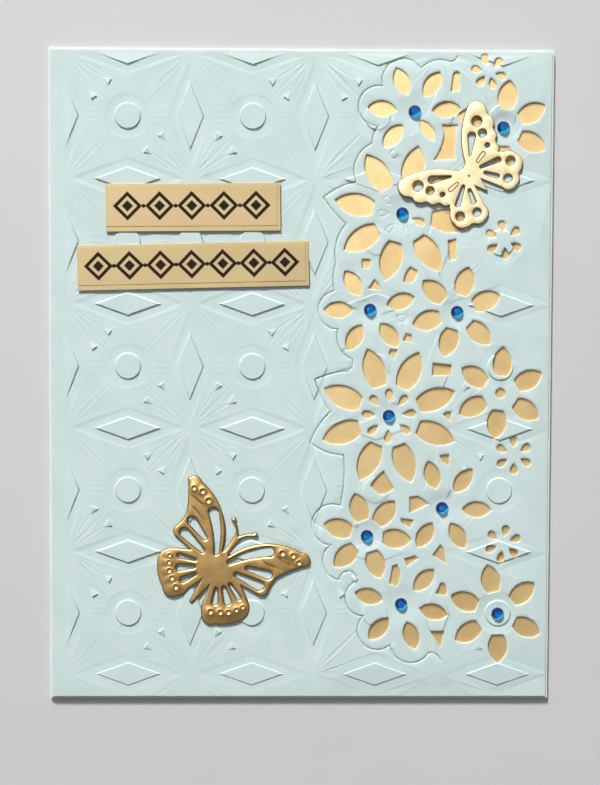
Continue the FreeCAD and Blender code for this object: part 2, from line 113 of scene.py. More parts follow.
def patchy(material, size, detail, low, high, first, second):
    """Two colours in patches of a size in mm that run into each other."""
    patches = between(material, add_noise(material, size, detail), low, high, first, second)
    feed(material, patches, "Base Color")


def dress(node, material):
    """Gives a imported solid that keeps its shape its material."""
    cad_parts[node].data.materials.clear()
    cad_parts[node].data.materials.append(material)


white_card = new_surface("white_card", card_white, 0.62)
patchy(white_card, 2.5, 3.0, 0.35, 0.7, card_white, card_shade)
tooth = add_bump(white_card, add_noise(white_card, 0.12, 4.0), 0.012)
feed(white_card, tooth, "Normal")
dress("card_base", white_card)


# ------------------------------------ Gold backing
# A sheet of thin card with a gold mirror film, glued behind the cut flowers and seen through them only.
# The film is brushed up and down, and has small crinkles where it came loose from its card.

gold_light = (0.80, 0.60, 0.30, 1)
gold_deep = (0.66, 0.46, 0.20, 1)


def laid_over(material, pattern, weight, ground):
    """The sum of a pattern times its weight and the pattern that it lies on."""
    total = material.node_tree.nodes.new("ShaderNodeMath")
    total.operation = "MULTIPLY_ADD"
    total.inputs[1].default_value = weight
    material.node_tree.links.new(pattern, total.inputs[0])
    material.node_tree.links.new(ground, total.inputs[2])
    return total.outputs["Value"]


gold_film = new_surface("gold_film", gold_light, 0.4, 0.68)
brushing = add_noise(gold_film, 0.2, 3.0, stretch=(0.7, 4, 1))
film_tone = laid_over(gold_film, brushing, 0.6, add_noise(gold_film, 7.0, 2.0))
feed(gold_film, between(gold_film, film_tone, 0.5, 1.1, gold_deep, gold_light), "Base Color")
film_normal = add_bump(gold_film, brushing, 0.01, 0.5)
crinkles = add_noise(gold_film, 1.3, 4.0)
crinkle_areas = between(gold_film, crinkles, 0.66, 0.8, (0, 0, 0, 1), (1, 1, 1, 1))
feed(gold_film, add_bump(gold_film, crinkle_areas, 0.05, 0.6, film_normal), "Normal")
dress("gold_backing", gold_film)


# ------------------------------------ Embossed panel
# Pale aqua paper, pressed between plates with a lattice of diamonds, discs and star rays, then die-cut with
# flowers down the right side. The die rolls the rims of its cuts down and flattens the lattice round them.
# The pressing needs an exact height at every fold, so the sheet is triangulated from its cuts and folds.

panel_bottom = 1.3
panel_top = 1.6
panel_margin = 0.5
relief_height = 0.3
relief_top = 1.9
lattice_columns, lattice_rows = 4, 6
lattice_step = 26.65
star_x = 3.65
star_y = 5.35
lying_diamond = (14.6, 5.2)
standing_diamond = (6.0, 15.0)
disc_radius = 2.9
slope = 0.3
tray_depth = 0.07
tray_flank = 0.4
tray_half_length = 11.8
tray_half_width = 4.35
tray_radius = 4.6
dart_reach = 11.5
dart_length = 2.2
dart_width = 1.5
dart_height = 0.34
dart_flank = 0.22
dart_spread = 12.0
ray_height = 0.058
long_ray_half, short_ray_half, bar_half = 0.24, 0.26, 0.22
fold_half, fold_depth = 0.2, 0.12
mark_half, mark_depth = 0.14, 0.1
flower_press, outer_press, foot_press = 0.35, 0.9, 0.6
plain_left, plain_edge = 3.2, 1.2
rim_roll, rim_drop = 0.36, 0.13
edge_roll, edge_drop = 0.2, 0.04
stand_off = 0.35
wings_x, wings_y = 90.2, 112.9
wings_radius = 12
wings_hold = 0.6
slit_width, slit_foot = 0.2, 0.02
blade_width = 0.14
arc_step = 0.34
near_by = 0.5

aqua = (0.64, 0.765, 0.74, 1)
aqua_shade = (0.60, 0.73, 0.705, 1)
# Paler aqua of the cut walls, partly the paper's own paler middle and partly a painted highlight.
aqua_core_and_highlight = (0.83, 0.87, 0.84, 1)


def along_bows(corners, closed=True):
    """Points along sides that bow out to the right of their direction by bow times their length."""
    points = []
    ends = corners[1:] + corners[:1] if closed else corners[1:]
    for (x, y, bow), end in zip(corners, ends):
        across_x, across_y = end[0] - x, end[1] - y
        half = 2 * math.atan(2 * bow)
        length = math.hypot(across_x, across_y)
        arc = length * (half / math.sin(half) if half else 1)
        runs = max(2, math.ceil(arc / arc_step)) if half else 1
        points.append((x, y))
        for run in range(1, runs):
            turn = half * (2 * run / runs - 1)
            along = (1 + math.sin(turn) / math.sin(half)) / 2
            out = (math.cos(turn) - math.cos(half)) / (2 * math.sin(half))
            points.append((x + across_x * along + across_y * out, y + across_y * along - across_x * out))
    if not closed:
        points.append(corners[-1][:2])
    return points


def petal(length, width, base=0.0):
    """Leaf along +X with a pointed tip, and at the start a point or a straight base."""
    if base:
        bow = (width / 2 - base / 4) / math.hypot(length, base / 2)
        return along_bows([(0, -base / 2, bow), (length, 0, bow), (0, base / 2, 0)])
    return along_bows([(0, 0, width / 2 / length), (length, 0, width / 2 / length)])


def drop(length, width):
    """Drop along +X, pointed at its start and round at its end."""
    turns = [2 * math.pi * k / 18 for k in range(18)]
    return [(length * (1 - math.cos(t)) / 2, 0.65 * width * math.sin(t) * math.sin(t / 2)) for t in turns]


def round_line(x, y, radius, parts=40):
    turns = [2 * math.pi * k / parts for k in range(parts)]
    return [(x + radius * math.cos(t), y + radius * math.sin(t)) for t in turns]


def turned(points, x, y, degrees):
    cosine, sine = math.cos(math.radians(degrees)), math.sin(math.radians(degrees))
    return [(x + u * cosine - v * sine, y + u * sine + v * cosine) for u, v in points]


def ring_of(shape, right, up, reach, angles):
    """Copies of an opening round a flower's heart, which is measured from the right edge of the card."""
    moved = [(u + reach, v) for u, v in shape]
    return [turned(moved, card_width - right, up, angle) for angle in angles]


pointed, narrow, cut, large = petal(6.0, 3.2), petal(5.0, 2.2), petal(5.9, 3.8, 2.2), petal(8.2, 4.4, 2.6)
small, inner = drop(2.1, 1.4), drop(2.5, 1.4)
openings = [
    *ring_of(pointed, 29.9, 126.5, 3.9, (4, 57, 113, 175, 229)),
    *ring_of(narrow, 29.9, 126.5, 2.4, (306,)),
    *ring_of(cut, 10.8, 123.2, 4.1, (28, 83, 164, 270, 333)),
    *ring_of(large, 32.3, 104.8, 6.4, (33, 77, 122, 169, 212, 256, 304, 351)),
    *ring_of(inner, 32.3, 104.8, 2.6, (335,)),
    *ring_of(pointed, 39.1, 84.2, 3.8, (16, 123, 180, 241, 308)),
    *ring_of(cut, 20.4, 83.8, 3.9, (22, 76, 138, 196, 254, 317)),
    *ring_of(large, 34.9, 61.4, 6.8, (20.5, 65, 108, 157, 200, 246, 289, 339)),
    *ring_of(inner, 34.9, 61.4, 3.2, (7, 48, 90, 133, 176, 221, 268, 321)),
    *ring_of(cut, 10.9, 66.4, 3.9, (26, 87, 147, 207, 263, 327)),
    round_line(card_width - 10.9, 66.4, 0.95, 24),
    *ring_of(pointed, 23.3, 41.5, 4.5, (53, 107, 358)),
    *ring_of(pointed, 23.3, 41.5, 3.9, (238, 300)),
    *ring_of(cut, 39.5, 35.4, 3.6, (52, 106, 164, 223, 288, 355)),
    *ring_of(pointed, 32.0, 20.6, 4.2, (47, 166, 228, 288, 347)),
    *ring_of(cut, 11.1, 18.6, 4.8, (102, 159, 213, 271)),
    *ring_of(cut, 11.1, 18.6, 4.3, (40, 334)),
    *ring_of(small, 14.0, 135.1, 1.6, (-19, 46, 108, 171, 231, 286)),
    *ring_of(small, 10.5, 99.3, 1.9, (-28, 36, 97, 156, 216, 276)),
    *ring_of(small, 7.9, 53.0, 1.9, (-29, 32, 91, 152, 213, 271)),
    *ring_of(small, 10.0, 33.8, 1.8, (-40, 22, 80, 142, 200, 260)),
]
fillers = [
    [(22.0, 131.0, 0), (20.4, 131.0, 0), (20.4, 134.6, 0.3), (21.5, 134.6, 0)],
    [(25.4, 116.4, 0), (21.0, 116.6, -0.05), (20.7, 123.6, 0), (23.8, 123.6, -0.1), (23.8, 120.0, -0.05)],
    [(40.8, 93.2, 0), (39.4, 93.2, 0.1), (39.2, 94.9, 0), (40.8, 94.9, 0)],
    [(31.8, 90.2, 0), (30.2, 90.2, 0.1), (29.1, 92.6, 0), (30.5, 93.3, 0.1)],
    [(22.0, 95.0, 0), (20.8, 95.2, 0), (20.8, 99.3, 0), (22.4, 99.0, 0)],
    [(39.3, 88.8, 0), (37.0, 88.6, 0.1), (38.2, 90.6, 0)],
    [(31.8, 77.8, 0), (30.0, 77.4, 0), (30.3, 78.8, 0), (31.3, 79.0, 0)],
    [(34.9, 74.9, 0), (33.9, 73.8, 0), (33.3, 75.5, 0), (34.6, 75.6, 0)],
    [(25.6, 70.3, 0), (21.7, 70.4, 0), (21.6, 72.3, 0), (25.4, 72.7, 0)],
    [(23.1, 61.7, 0), (21.7, 60.6, 0), (21.6, 62.3, 0), (22.5, 62.2, 0)],
    [(23.4, 51.8, 0), (22.0, 51.0, 0), (22.0, 53.0, 0), (23.7, 52.8, 0)],
    [(38.7, 46.4, 0), (36.9, 44.6, 0.1), (33.9, 45.8, 0), (36.0, 49.3, 0.05)],
    [(30.2, 40.6, 0), (26.4, 42.4, 0.05), (28.6, 44.0, 0), (30.2, 43.8, 0)],
    [(31.8, 38.2, 0), (30.2, 37.4, 0), (29.6, 38.8, 0), (32.1, 39.1, 0)],
    [(30.7, 29.0, 0), (28.5, 30.6, 0), (29.1, 31.0, 0), (31.2, 30.4, 0)],
    [(25.1, 31.3, 0), (22.4, 29.7, 0), (22.9, 32.2, 0.1), (23.6, 33.4, 0)],
    [(34.5, 25.2, 0), (33.0, 24.6, 0.05), (32.4, 28.0, 0), (33.0, 29.2, 0), (33.8, 28.9, 0)],
    [(24.4, 23.0, 0), (22.4, 22.7, 0.1), (22.7, 25.0, 0), (23.3, 25.2, 0)],
    [(23.4, 11.5, 0), (22.7, 14.6, 0), (25.5, 14.6, 0)],
]
openings += [along_bows([(card_width - right, up, bow) for right, up, bow in shape]) for shape in fillers]

cusps = [
    (20.6, 138.2, -0.15), (22.4, 137.1, 0.16), (28.5, 135.6, 0.43), (36.6, 131.8, 0.55), (37.6, 123.3, 0.1),
    (38.8, 119.7, 0.2), (42.3, 111.5, 0.06), (49.2, 108.1, 0.03), (44.3, 102.5, 0.12), (46.5, 94.2, 0.06),
    (46.8, 88.2, 0.47), (45.9, 80.0, 0.2), (42.9, 73.6, -0.2), (43.8, 71.0, 0.05), (50.9, 69.2, 0.04),
    (47.5, 62.2, 0.06), (51.8, 55.5, 0.08), (44.6, 52.9, -0.04), (45.3, 42.0, 0.58), (47.3, 33.4, 0.34),
    (45.4, 25.9, -0.5), (41.5, 25.7, 0.42), (40.2, 18.0, 0.48), (34.3, 11.7, 0.36), (26.0, 10.0, -0.2),
    (23.3, 8.2, 0),
]
cut_line = along_bows([(card_width - right, up, bow) for right, up, bow in cusps], closed=False)


def beside(points, distance, closed=True):
    """The line moved to the right of its direction by a distance."""
    line = np.array(points, float)
    ahead = np.roll(line, -1, 0) - line
    ahead /= np.maximum(np.hypot(ahead[:, 0], ahead[:, 1]), 1e-9)[:, None]
    behind = np.roll(ahead, 1, 0)
    if not closed:
        ahead[-1] = behind[-1]
        behind[0] = ahead[0]
    across = ahead + behind
    across /= np.maximum(np.hypot(across[:, 0], across[:, 1]), 1e-9)[:, None]
    squareness = np.maximum((across * ahead).sum(1), 0.5)
    return line + np.column_stack([across[:, 1], -across[:, 0]]) * (distance / squareness)[:, None]


def area_of(points):
    line = np.array(points, float)
    after = np.roll(line, -1, 0)
    return (line[:, 0] * after[:, 1] - line[:, 1] * after[:, 0]).sum() / 2


openings = [np.array(hole if area_of(hole) > 0 else hole[::-1], float) for hole in openings]
openings = [beside(hole, blade_width) for hole in openings]
slit = np.array([*beside(cut_line, slit_width / 2, False), *beside(cut_line, -slit_width / 2, False)[::-1]])
openings.append(slit if area_of(slit) > 0 else slit[::-1])

# A crease is a thin pressed line: start, end, half width and height, which is negative below the sheet.
# Rays run out from every star, every second star has darts too, and short bars lie beside the discs.
creases, discs, lozenges, darts = [], [], [], []
for column in range(lattice_columns):
    for row in range(lattice_rows):
        x, y = star_x + column * lattice_step, star_y + row * lattice_step
        lozenges.append((x + lattice_step / 2, y, lying_diamond[0] / 2, lying_diamond[1] / 2, 0))
        lozenges.append((x, y + lattice_step / 2, standing_diamond[0] / 2, standing_diamond[1] / 2, 1))
        discs.append((x + lattice_step / 2, y + lattice_step / 2))
        for quarter in (45, 135, 225, 315):
            for aside in (-0.5, 0.5):
                start, end = turned([(3.6, aside * 0.8), (13.6, aside)], x, y, quarter)
                creases.append((start, end, long_ray_half, ray_height))
            for spread in (-24, -6.5, 6.5, 24):
                start, end = turned([(3.0, 0), (8.2, 0)], x, y, quarter + spread)
                creases.append((start, end, short_ray_half, ray_height))
            if (column + row) % 2:
                for spread in (-dart_spread, dart_spread):
                    darts.append((x, y, quarter + spread))
                    for aside in (-0.3, 0.3):
                        ray = [(4.0, aside), (dart_reach - dart_length, aside * 1.5)]
                        start, end = turned(ray, x, y, quarter + spread)
                        creases.append((start, end, long_ray_half, ray_height))
        for side in (-1, 1):
            for lift in (-1.25, 0, 1.25):
                middle_x, middle_y = x + lattice_step / 2 + side * 7.0, y + lattice_step / 2 + lift
                bar = ((middle_x - 1.1, middle_y), (middle_x + 1.1, middle_y))
                creases.append((*bar, bar_half, ray_height))
        for quarter in (0, 90, 180, 270):
            for spread in (-9, 9):
                start, end = turned([(2.6, 0), (5.6, 0)], x, y, quarter + spread)
                creases.append((start, end, bar_half, 0.5 * ray_height))

# Where the sheet was bent, and where the knife only marked an opening, the lines are pressed into the sheet.
folds = [
    [(0.9, 72.0), (2.4, 71.6), (4.4, 72.7), (6.2, 72.0), (4.7, 67.0)],
    [(70.25, 123.25), (72.3, 124.0), (73.3, 125.5)],
    [(57.2, 69.4), (64.6, 71.6), (65.0, 73.4)],
    [(57.4, 41.0), (57.2, 38.2), (60.6, 36.2)],
]
for fold in folds:
    for start, end in zip(fold, fold[1:]):
        creases.append((start, end, fold_half, -fold_depth))
unpunched = [round_line(75.7, 82.4, 0.8, 16), round_line(73.8, 117.3, 1.0, 6)]
unpunched += ring_of(drop(2.1, 1.3), 32.3, 104.8, 3.0, (139, 180, 231, 283))
for shape in unpunched:
    for start, end in zip(shape, shape[1:] + shape[:1]):
        creases.append((start, end, mark_half, -mark_depth))


def smooth(t):
    t = np.clip(t, 0, 1)
    return t * t * (3 - 2 * t)


def rising(value, start, width):
    """0 up to a start and 1 from a width beyond it, with a smooth rise between."""
    return smooth((value - start) / width)


def rhombus_depth(P, x, y, half_x, half_y):
    """Distance of points from the sides of a rhombus, positive inside it."""
    inside = 1 - np.abs(P[:, 0] - x) / half_x - np.abs(P[:, 1] - y) / half_y
    return inside * half_x * half_y / math.hypot(half_x, half_y)


def distance_to(P, start, end):
    """Distance of points from a straight run."""
    a, b = np.array(start, float), np.array(end, float)
    along = np.clip((P - a) @ (b - a) / max(((b - a) ** 2).sum(), 1e-12), 0, 1)
    return np.hypot(*(P - a - along[:, None] * (b - a)).T)


def away_from(P, x, y):
    return np.hypot(P[:, 0] - x, P[:, 1] - y)


def near(P, x0, y0, x1, y1):
    return np.flatnonzero((P[:, 0] > x0) & (P[:, 0] < x1) & (P[:, 1] > y0) & (P[:, 1] < y1))


def inside_line(P, line):
    """Whether points lie inside a closed line."""
    found = np.zeros(len(P), bool)
    for (x0, y0), (x1, y1) in zip(line, np.roll(line, -1, 0)):
        if y0 != y1:
            left_of_run = P[:, 0] < (x1 - x0) * (P[:, 1] - y0) / (y1 - y0) + x0
            found ^= ((y0 > P[:, 1]) != (y1 > P[:, 1])) & left_of_run
    return found


hearts = [(29.8, 126.5), (10.8, 123.2), (32.3, 104.8), (39.1, 84.2), (20.4, 83.8),
          (34.9, 61.4), (23.3, 41.5), (39.5, 35.4), (32.0, 20.6), (11.1, 18.6)]
hearts = [(card_width - right, up) for right, up in hearts]
flower_side = np.array([*cut_line, (card_width, 8.2), (card_width, 138.2)])


def pressing(P):
    """How strongly the lattice is pressed: less among the flowers, and not at all under a stone, but for the
    last one, which sits on a raised disc."""
    among_flowers = flower_press + (outer_press - flower_press) * rising(P[:, 0], 82, 8)
    strength = np.where(inside_line(P, flower_side), among_flowers, 1.0)
    for x, y in hearts:
        away = away_from(P, x, y)
        if (x, y) == hearts[-1]:
            strength = np.where(away < 3.6, 1.0, strength)
        else:
            strength *= rising(away, 2.0, 1.2)
    strength *= foot_press + (1 - foot_press) * rising(P[:, 1], 7, 8)
    strength *= rising(P[:, 0], plain_left, 2.0) * rising(card_width - P[:, 0], plain_edge, 0.8)
    return strength * rising(P[:, 1], plain_edge, 0.7) * rising(card_height - P[:, 1], plain_edge, 0.7)


def height_of(P):
    """Height of the pressed sheet above its flat top."""
    tray = np.zeros(len(P))
    raised = np.zeros(len(P))
    wedges = np.zeros(len(P))
    lines = np.zeros(len(P))
    for x, y, half_x, half_y, standing in lozenges:
        reach = tray_half_length + near_by
        k = near(P, x - reach, y - reach, x + reach, y + reach)
        wide = (tray_half_width, tray_half_length) if standing else (tray_half_length, tray_half_width)
        tray[k] = np.maximum(tray[k], smooth(rhombus_depth(P[k], x, y, *wide) / tray_flank + 0.5))
        raised[k] = np.maximum(raised[k], smooth(rhombus_depth(P[k], x, y, half_x, half_y) / slope))
    for x, y in discs:
        reach = tray_radius + near_by
        k = near(P, x - reach, y - reach, x + reach, y + reach)
        away = away_from(P[k], x, y)
        tray[k] = np.maximum(tray[k], smooth((tray_radius - away) / tray_flank + 0.5))
        raised[k] = np.maximum(raised[k], smooth((disc_radius - away) / slope))
    for x, y, angle in darts:
        reach = dart_reach + near_by
        k = near(P, x - reach, y - reach, x + reach, y + reach)
        cosine, sine = math.cos(math.radians(angle)), math.sin(math.radians(angle))
        u = (P[k, 0] - x) * cosine + (P[k, 1] - y) * sine
        v = np.abs((P[k, 1] - y) * cosine - (P[k, 0] - x) * sine)
        rise = (u - dart_reach + dart_length) / (dart_length - dart_flank)
        flank = (rise * dart_width / 2 - v) / dart_flank
        wedge = np.minimum(np.minimum(rise, flank), (dart_reach - u) / dart_flank)
        wedges[k] = np.maximum(wedges[k], np.clip(wedge, 0, 1))
    for start, end, half_width, height in creases:
        k = near(P, min(start[0], end[0]) - near_by, min(start[1], end[1]) - near_by,
                 max(start[0], end[0]) + near_by, max(start[1], end[1]) + near_by)
        crest = height * smooth(1 - distance_to(P[k], start, end) / half_width)
        lines[k] = np.where(np.abs(crest) > np.abs(lines[k]), crest, lines[k])
    pressed = pressing(P)
    low = -tray_depth * tray + np.where(lines > 0, lines * pressed, lines) * (1 - raised)
    height = low * np.where(lines < 0, 1, pressed) * (1 - raised) + relief_height * raised * pressed
    return np.where(wedges > 0, np.maximum(height, dart_height * wedges * pressed), height)


def rolled(P, lines, width):
    """How far points lie within the rolled rim along closed lines: 1 at the line, 0 outside the roll."""
    roll = np.zeros(len(P))
    for line in lines:
        k = near(P, *(line.min(0) - width), *(line.max(0) + width))
        closest = np.full(len(k), width)
        for start, end in zip(line, np.roll(line, -1, 0)):
            m = near(P[k], *(np.minimum(start, end) - width), *(np.maximum(start, end) + width))
            if len(m):
                closest[m] = np.minimum(closest[m], distance_to(P[k][m], start, end))
        roll[k] = np.maximum(roll[k], 1 - closest / width)
    return roll


def triangulated(outline, holes, rules):
    """Points and triangles of a flat sheet with holes, whose triangles follow the ruled lines."""
    points, runs = [], []
    closed_lines = [(line, True) for line in [outline, *holes]]
    for line, closed in closed_lines + rules:
        first, count = len(points), len(line)
        points.extend(Vector((float(x), float(y))) for x, y in line)
        runs.extend((first + k, first + (k + 1) % count) for k in range(count if closed else count - 1))
    found, _, triangles = delaunay_2d_cdt(points, runs, [], 0, 1e-4)[:3]
    flat = np.array([(p.x, p.y) for p in found])
    triangles = np.array(triangles)
    middles = flat[triangles].mean(1)
    kept = inside_line(middles, outline)
    for hole in holes:
        k = near(middles, *hole.min(0), *hole.max(0))
        kept[k] &= ~inside_line(middles[k], hole)
    triangles = triangles[kept]
    used = np.unique(triangles)
    order = np.full(len(flat), -1)
    order[used] = np.arange(len(used))
    return flat[used], order[triangles]


def two_faced(name, top, under, triangles):
    """Closed mesh in mm between an upper and a lower skin of the same triangles, with upright walls."""
    count = len(top)
    sides = np.concatenate([triangles[:, (0, 1)], triangles[:, (1, 2)], triangles[:, (2, 0)]])
    _, where, times = np.unique(np.sort(sides, 1), axis=0, return_index=True, return_counts=True)
    rims = sides[where[times == 1]]
    walls = np.column_stack([rims[:, 1], rims[:, 0], rims[:, 0] + count, rims[:, 1] + count])
    faces = [*triangles.tolist(), *(triangles[:, ::-1] + count).tolist(), *walls.tolist()]
    mesh = bpy.data.meshes.new(name)
    mesh.from_pydata((np.concatenate([top, under]) * mm).tolist(), [], faces)
    piece = bpy.data.objects.new(name, mesh)
    bpy.context.collection.objects.link(piece)
    return piece


# The triangles follow these lines, so that they bend where the pressing does.
raised_insets, tray_insets = (0, 0.1, 0.2, 0.3), (-0.25, 0, 0.25)
rules = []
for hole in openings:
    for share in (0.5, 1.0):
        rules.append((beside(hole, rim_roll * share), True))
for x, y, half_x, half_y, standing in lozenges:
    size = half_x * half_y / math.hypot(half_x, half_y)
    wide_x, wide_y = (tray_half_width, tray_half_length) if standing else (tray_half_length, tray_half_width)
    wide_size = wide_x * wide_y / math.hypot(wide_x, wide_y)
    rings = [(half_x, half_y, 1 - inset / size) for inset in raised_insets]
    rings += [(wide_x, wide_y, 1 - inset / wide_size) for inset in tray_insets]
    for u, v, share in rings:
        u, v = u * share, v * share
        rules.append(([(x - u, y), (x, y - v), (x + u, y), (x, y + v)], True))
for x, y in discs:
    radii = [disc_radius - inset for inset in raised_insets] + [tray_radius - inset for inset in tray_insets]
    rules += [(round_line(x, y, radius, 56), True) for radius in radii]
for x, y, angle in darts:
    start = dart_reach - dart_length
    half, crest = dart_width / 2, dart_reach - dart_flank
    foot = [(start, 0), (crest, -half), (dart_reach, -half), (dart_reach, half), (crest, half)]
    plate = [(start + dart_flank * 1.4, 0), (crest, dart_flank - half), (crest, half - dart_flank)]
    rules += [(turned(foot, x, y, angle), True), (turned(plate, x, y, angle), True)]
for start, end, half_width, height in creases:
    run = np.array([start, end], float)
    rules.extend((beside(run, offset * half_width, False), False) for offset in (-1, -0.45, 0.45, 1))
for x in (plain_left, 3.7, 4.2, 4.7, 5.2):
    rules.append(([(x, panel_margin), (x, card_height - panel_margin)], False))
rules.extend((round_line(x, y, radius, 28), True) for x, y in hearts for radius in (1.6, 2.4, 3.2, 4.2, 5.2))

edge_x, edge_y = card_width - panel_margin, card_height - panel_margin
panel_edge = [(panel_margin, panel_margin), (edge_x, panel_margin), (edge_x, edge_y), (panel_margin, edge_y)]
panel_edge = np.array(panel_edge)
flat, triangles = triangulated(panel_edge, openings, rules)
roll = rolled(flat, openings, rim_roll)
top = panel_top + height_of(flat) - rim_drop * roll ** 2
top -= edge_drop * rolled(flat, [panel_edge], edge_roll) ** 2

# The cut part isn't glued everywhere, so it springs up a little from the gold between the stones, but less
# under the upper butterfly.
spring = rising(flat[:, 0], 56, 6) * rising(card_width - flat[:, 0], 0.8, 3)
spring *= rising(flat[:, 1], 1.5, 4) * rising(card_height - flat[:, 1], 1.5, 4)
for x, y in hearts:
    spring *= rising(away_from(flat, x, y), 1.2, 4)
from_wings = away_from(flat, wings_x, wings_y)
spring *= wings_hold + (1 - wings_hold) * rising(from_wings, 11, 5)
top += stand_off * spring
under_wings = from_wings < wings_radius
top[under_wings] = np.minimum(top[under_wings], relief_top - 0.02)
under = np.minimum(panel_bottom + np.maximum(top - panel_top, 0), top - 0.1)

# The die's knife is a wedge, so the long cut is open at the top and all but closed underneath.
foot = flat.copy()
middle = np.array(cut_line)
for k in np.flatnonzero(rolled(flat, openings[-1:], 0.01) > 0.5):
    starts, runs = middle[:-1], np.diff(middle, axis=0)
    along = np.clip(((flat[k] - starts) * runs).sum(1) / (runs ** 2).sum(1), 0, 1)
    places = starts + along[:, None] * runs
    closest = places[np.hypot(*(places - flat[k]).T).argmin()]
    foot[k] = closest + (flat[k] - closest) * slit_foot / slit_width
centre = (card_width / 2, card_height / 2)
panel = two_faced("embossed_panel_sheet", np.column_stack([flat - centre, top]),
                  np.column_stack([foot - centre, under]), triangles)
cut_edge = panel.data.attributes.new("cut_edge", "FLOAT", "POINT")
cut_edge.data.foreach_set("value", np.concatenate([0 * roll, np.ones(len(roll))]))


def pick(piece):
    """Selects this piece alone and makes it the active one."""
    bpy.ops.object.select_all(action="DESELECT")
    bpy.context.view_layer.objects.active = piece
    piece.select_set(True)


def smoothed(piece, degrees):
    """Smooth shading, but for edges that turn by more than the angle."""
    pick(piece)
    bpy.ops.object.shade_smooth_by_angle(angle=math.radians(degrees), keep_sharp_edges=False)
    piece.select_set(False)


smoothed(panel, 38)

# Large flat faces decide the shading at their corners, so a fold doesn't spread over the sheet beside it.
bpy.ops.object.modifier_add(type="WEIGHTED_NORMAL")
panel.modifiers[-1].keep_sharp = True
bpy.ops.object.modifier_apply(modifier=panel.modifiers[-1].name)

aqua_paper = new_surface("aqua_paper", aqua, 0.72, specular=0.2)
patches = add_noise(aqua_paper, 5.0, 4.0)
paper_colour = between(aqua_paper, patches, 0.35, 0.68, aqua, aqua_shade)
# Under skin and foot of every cut wall: paler aqua, partly the paper's own paler middle, partly a painted
# highlight of the bright cut rims.
edge_value = aqua_paper.node_tree.nodes.new("ShaderNodeAttribute")
edge_value.attribute_name = "cut_edge"
edge_share = between(aqua_paper, edge_value.outputs["Fac"], 0.7, 1.0, (0, 0, 0, 1), (1, 1, 1, 1))
core_and_highlight_mix = aqua_paper.node_tree.nodes.new("ShaderNodeMix")
core_and_highlight_mix.data_type = "RGBA"
core_sockets = [s for s in core_and_highlight_mix.inputs if s.type == "RGBA"]
core_sockets[1].default_value = aqua_core_and_highlight
aqua_paper.node_tree.links.new(edge_share, core_and_highlight_mix.inputs[0])
aqua_paper.node_tree.links.new(paper_colour, core_sockets[0])
feed(aqua_paper, [s for s in core_and_highlight_mix.outputs if s.type == "RGBA"][0], "Base Color")
grain = add_bump(aqua_paper, add_noise(aqua_paper, 0.16, 4.0), 0.014, 0.7)
feed(aqua_paper, add_bump(aqua_paper, add_noise(aqua_paper, 6.0, 2.0), 0.12, 0.6, grain), "Normal")
panel.data.materials.append(aqua_paper)
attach(panel, "root")
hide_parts("embossed_panel")


# ------------------------------------ Gold strips
# Each strip is a label of brushed gold film on card, mounted on a slightly larger piece of the same film.
# The label carries a stamped black row of diamonds and dots. The strips are stuck across the raised lattice.

mat_stock = 0.25
mat_borders = (0.05, 1.1, 0.7, 0.4)
label_stock = 0.1
ink_stock = 0.02
strip_gold = (0.38, 0.285, 0.135, 1)
strip_gold_deep = (0.35, 0.26, 0.122, 1)
ink_black = (0.014, 0.009, 0.006, 1)
ink_thin = (0.026, 0.018, 0.012, 1)


def on_card(x, y, height):
    """Place in metres of a point that is measured in mm from the card's lower left corner."""
    return Vector((x - card_width / 2, y - card_height / 2, height)) * mm


def settle(piece):
    """Puts the piece's place, turn and size into its mesh."""
    pick(piece)
    bpy.ops.object.transform_apply(location=True, rotation=True, scale=True)
    piece.select_set(False)


def edit(piece, mode="FACE"):
    """Opens the piece in edit mode with nothing selected."""
    pick(piece)
    bpy.ops.object.mode_set(mode="EDIT")
    bpy.ops.mesh.select_mode(type=mode)
    bpy.ops.mesh.select_all(action="DESELECT")


def slab(name, length, width, place, bottom, thickness, edge):
    """Flat piece of stock with softly broken edges."""
    x, y, turn = place
    bpy.ops.mesh.primitive_cube_add(
        size=1, location=on_card(x, y, bottom + thickness / 2), rotation=(0, 0, math.radians(turn)),
        scale=(length * mm, width * mm, thickness * mm))
    piece = bpy.context.object
    piece.name = name
    settle(piece)
    edit(piece)
    bpy.ops.mesh.select_all(action="SELECT")
    bpy.ops.mesh.bevel(offset=edge * mm, segments=2, affect="EDGES")
    bpy.ops.object.mode_set(mode="OBJECT")
    smoothed(piece, 18)
    return piece


def join(piece, others):
    bpy.ops.object.select_all(action="DESELECT")
    for other in [piece, *others]:
        other.select_set(True)
    bpy.context.view_layer.objects.active = piece
    bpy.ops.object.join()
    bpy.ops.object.select_all(action="DESELECT")


def stamp(place, along, corners, radius, squeeze, ring=None):
    """Thin stamped spot of ink on a label, of a regular shape that is drawn in sideways. Where the width of
    a ring is given, its middle is open."""
    x, y, turn = place
    x, y = turned([(along, 0)], x, y, turn)[0]
    bpy.ops.mesh.primitive_circle_add(
        vertices=corners, radius=radius * mm, fill_type="NGON",
        location=on_card(x, y, relief_top + mat_stock + label_stock),
        rotation=(0, 0, math.radians(turn)), scale=(squeeze, 1, 1))
    spot = bpy.context.object
    settle(spot)
    edit(spot)
    bpy.ops.mesh.select_all(action="SELECT")
    if ring:
        bpy.ops.mesh.inset(thickness=ring * mm)
        bpy.ops.mesh.delete(type="FACE")
        bpy.ops.mesh.select_all(action="SELECT")
    bpy.ops.mesh.extrude_region_move(TRANSFORM_OT_translate={"value": (0, 0, ink_stock * mm)})
    bpy.ops.mesh.select_all(action="SELECT")
    bpy.ops.mesh.normals_make_consistent(inside=False)
    bpy.ops.object.mode_set(mode="OBJECT")
    return spot


